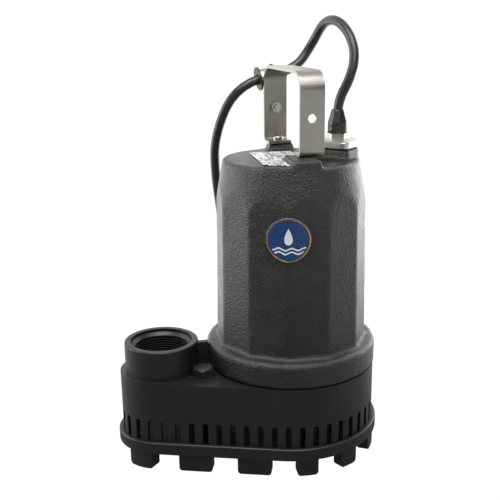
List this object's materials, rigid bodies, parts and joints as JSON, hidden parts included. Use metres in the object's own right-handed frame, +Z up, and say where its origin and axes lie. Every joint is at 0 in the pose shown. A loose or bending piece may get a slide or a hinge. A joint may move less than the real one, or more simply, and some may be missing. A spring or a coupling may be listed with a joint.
{
  "type": "submersible sump pump",
  "caption": "Submersible sump pump with a cast motor housing, slotted strainer base, upright threaded discharge port, strap handle and coiled power cord.",
  "frame": {"origin": "middle of the base outline on the floor that the pump stands on, without the cord", "axes": "+Z up along the motor's shaft, +X from the discharge port to the motor, -Y the front with the badge"},
  "size_m": [0.2533, 0.3078, 0.366],
  "materials": {
    "cast_paint": "hammered charcoal paint",
    "black_plastic": "satin",
    "inner_plastic": "satin",
    "black_bolt": "satin",
    "satin_stainless": "satin",
    "polished_stainless": "polished",
    "zinc_steel": "plain",
    "cord_rubber": "satin",
    "soft_rubber": "matte",
    "cord_tie": "matte",
    "plug_brass": "bright",
    "cast_iron": "machined",
    "bearing_steel": "ground",
    "ceramic": "ground",
    "carbon": "lapped",
    "core_steel": "laminated",
    "rotor_aluminium": "cast",
    "copper": "varnished",
    "capacitor_can": "gloss",
    "lead_insulation": "satin",
    "label": "paper",
    "badge": "gloss"
  },
  "bodies": {
    "pump": {"motor_housing": "cast_paint", "volute_casing": "black_plastic", "strainer_base": "black_plastic", "volute_cover": "inner_plastic", "casing_bolts": "black_bolt", "handle_strap": "satin_stainless", "handle_washers": "satin_stainless", "handle_screws": "satin_stainless", "gland_plate": "polished_stainless", "gland_nut": "polished_stainless", "cord_clamp_screw": "polished_stainless", "cord_clamp_nut": "polished_stainless", "cord_clamp_band": "polished_stainless", "casing_nuts": "zinc_steel", "strainer_screws": "zinc_steel", "volute_cover_screws": "zinc_steel", "motor_flange_bolts": "zinc_steel", "bearing_preload_washer": "zinc_steel", "capacitor_clip": "zinc_steel", "oil_fill_plug": "zinc_steel", "cord_sleeve": "cord_rubber", "power_cord_run": "cord_rubber", "power_cord_coil": "cord_rubber", "power_cord_tail": "cord_rubber", "plug_body": "cord_rubber", "cord_clamp_cushion": "soft_rubber", "gland_gasket": "soft_rubber", "housing_o_ring": "soft_rubber", "seal_seat_cup": "soft_rubber", "cord_ties": "cord_tie", "plug_blades": "plug_brass", "plug_ground_pin": "plug_brass", "seal_plate": "cast_iron", "lower_bearing_outer_ring": "bearing_steel", "upper_bearing_outer_ring": "bearing_steel", "seal_seat": "ceramic", "stator_core": "core_steel", "stator_winding": "copper", "run_capacitor": "capacitor_can", "thermal_protector": "capacitor_can", "lead_wires": "lead_insulation", "label_plate": "label", "front_badge": "badge"},
    "rotor": {"rotor_core": "core_steel", "rotor_end_rings": "rotor_aluminium", "shaft": "bearing_steel", "lower_bearing_inner_ring": "bearing_steel", "upper_bearing_inner_ring": "bearing_steel", "seal_rotating_face": "carbon", "seal_bellows": "soft_rubber", "impeller": "inner_plastic", "impeller_nut": "zinc_steel"},
    "lower_cage": {"lower_bearing_cage": "bearing_steel", "lower_bearing_balls": "bearing_steel"},
    "upper_cage": {"upper_bearing_cage": "bearing_steel", "upper_bearing_balls": "bearing_steel"}
  },
  "joints": [
    {"name": "rotor_spin", "type": "hinge", "parent": "pump", "child": "rotor", "pos_m": [0.038, 0, 0.16], "axis": [0, 0, 1], "continuous": true},
    {"name": "lower_cage_spin", "type": "hinge", "parent": "pump", "child": "lower_cage", "pos_m": [0.038, 0, 0.0955], "axis": [0, 0, 1], "continuous": true},
    {"name": "upper_cage_spin", "type": "hinge", "parent": "pump", "child": "upper_cage", "pos_m": [0.038, 0, 0.2255], "axis": [0, 0, 1], "continuous": true}
  ],
  "couplings": [
    {"joint": "lower_cage_spin", "follows": "rotor_spin", "ratio": 0.38},
    {"joint": "upper_cage_spin", "follows": "rotor_spin", "ratio": 0.38}
  ]
}
